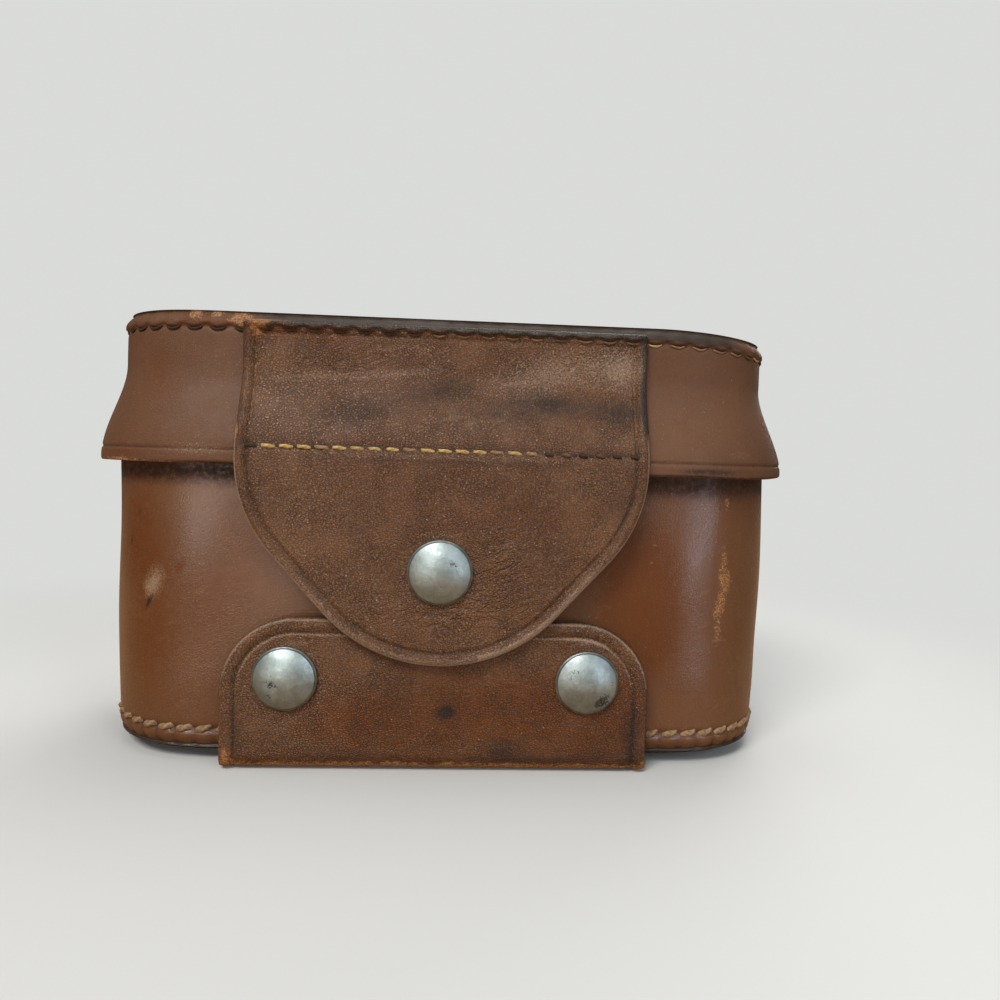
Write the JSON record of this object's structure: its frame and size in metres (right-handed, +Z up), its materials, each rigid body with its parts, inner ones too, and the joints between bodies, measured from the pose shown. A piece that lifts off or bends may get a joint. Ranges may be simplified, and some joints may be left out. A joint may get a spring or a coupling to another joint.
{
  "type": "camera case",
  "caption": "Rigid leather camera case with a rear-hinged lid, a flared skirt, a snap-down tongue and a front leaf on a base strap.",
  "frame": {"origin": "middle of the flat face of the base strap that the case rests on", "axes": "+X to the right seen from the front, +Y to the rear, +Z up"},
  "size_m": [0.1728, 0.0811, 0.1038],
  "materials": {
    "body_leather": "smooth vegetable-tanned leather, reddish brown, semi-gloss, scuffed",
    "lid_leather": "smooth vegetable-tanned leather, brown, rubbed",
    "flap_leather": "fine-grained leather, darker brown, edges dyed black",
    "base_leather": "dark brown leather, worn",
    "thread_dark": "waxed linen thread, darkened",
    "thread_light": "waxed linen thread, golden tan",
    "lining_board": "flocked cloth on board, tan",
    "snap_nickel": "worn nickel plate, satin, pitted",
    "snap_brass": "plain brass, dulled",
    "spring_wire": "spring steel wire"
  },
  "bodies": {
    "body": {"body_wall": "body_leather", "body_base": "base_leather", "base_stitching": "thread_light", "body_lining": "lining_board", "base_pad": "lining_board", "base_strap": "flap_leather", "strap_stitching": "thread_light", "rear_hinge_lower": "flap_leather", "lower_hinge_stitching": "thread_light", "flap_snap_stud": "snap_brass", "flap_snap_post": "snap_brass", "leaf_snap_studs": "snap_brass", "leaf_snap_posts": "snap_brass"},
    "lid": {"lid_wall": "lid_leather", "lid_top": "base_leather", "top_stitching": "thread_dark", "lid_lining": "lining_board", "top_pad": "lining_board", "flap_panel": "flap_leather", "flap_stitching": "thread_light", "rear_hinge_upper": "flap_leather", "upper_hinge_stitching": "thread_light"},
    "flap": {"flap_tongue": "flap_leather", "flap_snap_cap": "snap_nickel", "flap_snap_socket": "snap_brass", "flap_snap_spring": "spring_wire"},
    "leaf": {"front_leaf": "flap_leather", "left_leaf_cap": "snap_nickel", "right_leaf_cap": "snap_nickel", "leaf_snap_sockets": "snap_brass", "leaf_snap_springs": "spring_wire"}
  },
  "joints": [
    {"name": "lid_hinge", "type": "hinge", "parent": "body", "child": "lid", "pos_m": [0, 0.036, 0.0689], "axis": [-1, 0, 0], "range_deg": [0, 120]},
    {"name": "flap_hinge", "type": "hinge", "parent": "lid", "child": "flap", "pos_m": [0, -0.0407, 0.0689], "axis": [-1, 0, 0], "range_deg": [0, 150]},
    {"name": "leaf_hinge", "type": "hinge", "parent": "body", "child": "leaf", "pos_m": [0, -0.0382, 0.00015], "axis": [1, 0, 0], "range_deg": [0, 90]}
  ],
  "couplings": [
    {"joint": "leaf_hinge", "follows": "flap_hinge", "ratio": 0.6}
  ]
}
